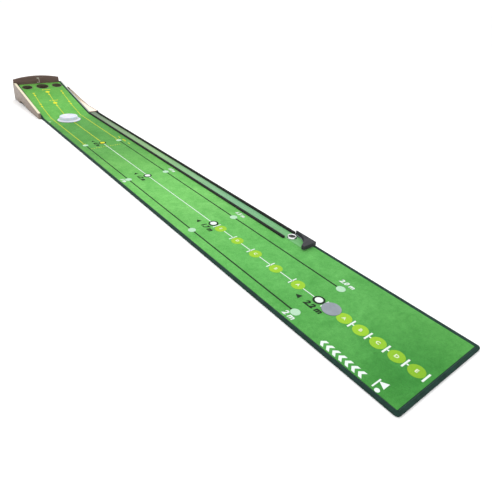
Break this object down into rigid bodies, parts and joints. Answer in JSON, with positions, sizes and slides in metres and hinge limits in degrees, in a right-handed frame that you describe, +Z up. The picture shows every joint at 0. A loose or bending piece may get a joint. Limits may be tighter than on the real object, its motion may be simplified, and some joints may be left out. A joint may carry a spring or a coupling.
{
  "type": "practice putting mat",
  "caption": "Long turf putting mat rising onto a wooden ramp with three cup holes, an arched backstop and a side track that rolls the ball back to the player.",
  "frame": {"origin": "on the floor, under the middle of the whole mat's length and width", "axes": "+Y from the player's end towards the holes, +X to the player's right, +Z up"},
  "size_m": [0.346, 3, 0.149],
  "materials": {
    "panel_wood": "satin lacquered ash, stained taupe, pale eased edges",
    "backstop_wood": "satin walnut",
    "deck_plywood": "sanded plywood",
    "inner_beech": "raw beech",
    "grey_board": "matt grey painted board",
    "turf": "short putting pile",
    "backing_rubber": "matt foam rubber",
    "binding_tape": "woven tape",
    "black_rubber": "matt",
    "track_film": "ribbed translucent",
    "frosted_plastic": "frosted",
    "cup_plastic": "satin moulded",
    "chrome_ring": "polished",
    "charcoal_rubber": "matt moulded",
    "grey_rubber": "matt",
    "screw_steel": "zinc plated",
    "hook_tape": "hook and loop tape"
  },
  "bodies": {
    "base": {"left_side_panel": "panel_wood", "right_side_panel": "panel_wood", "backstop_board": "backstop_wood", "chute_end_block": "backstop_wood", "ramp_deck": "deck_plywood", "chute_floor": "deck_plywood", "front_cross_rail": "inner_beech", "middle_cross_rail": "inner_beech", "dowel_1": "inner_beech", "dowel_2": "inner_beech", "ball_tray": "inner_beech", "tray_front_wall": "inner_beech", "chute_floor_bearer_1": "inner_beech", "chute_floor_bearer_2": "inner_beech", "chute_inner_wall": "grey_board", "putting_turf": "turf", "ramp_turf": "turf", "hole_turf": "turf", "rubber_backing": "backing_rubber", "ramp_backing": "backing_rubber", "left_front_foot": "backing_rubber", "left_back_foot": "backing_rubber", "right_front_foot": "backing_rubber", "right_back_foot": "backing_rubber", "notch_pad": "backing_rubber", "edge_binding": "binding_tape", "ramp_edge_binding": "binding_tape", "ramp_left_binding": "binding_tape", "inner_rail": "black_rubber", "outer_rail": "black_rubber", "ball_rest_pad": "black_rubber", "track_film": "track_film", "left_cup_ring": "cup_plastic", "centre_cup_ring": "cup_plastic", "right_cup_ring": "cup_plastic", "ball_rest_ring": "chrome_ring", "backstop_screw_1": "screw_steel", "backstop_screw_2": "screw_steel", "backstop_screw_3": "screw_steel", "backstop_screw_4": "screw_steel", "hook_tape_1": "hook_tape", "hook_tape_2": "hook_tape"},
    "target": {"target_cup": "frosted_plastic", "target_grip_ring": "grey_rubber"},
    "spot_disc": {"ball_spot_disc": "grey_rubber"},
    "ball_stop": {"ball_stop": "charcoal_rubber", "ball_stop_grip_pad": "grey_rubber"}
  },
  "joints": [
    {"name": "target_lift", "type": "slide", "parent": "base", "child": "target", "axis": [0, 0, 1], "range_m": [0, 0.2]},
    {"name": "spot_disc_lift", "type": "slide", "parent": "base", "child": "spot_disc", "axis": [0, 0, 1], "range_m": [0, 0.1]},
    {"name": "ball_stop_lift", "type": "slide", "parent": "base", "child": "ball_stop", "axis": [0, 0, 1], "range_m": [0, 0.1]}
  ]
}
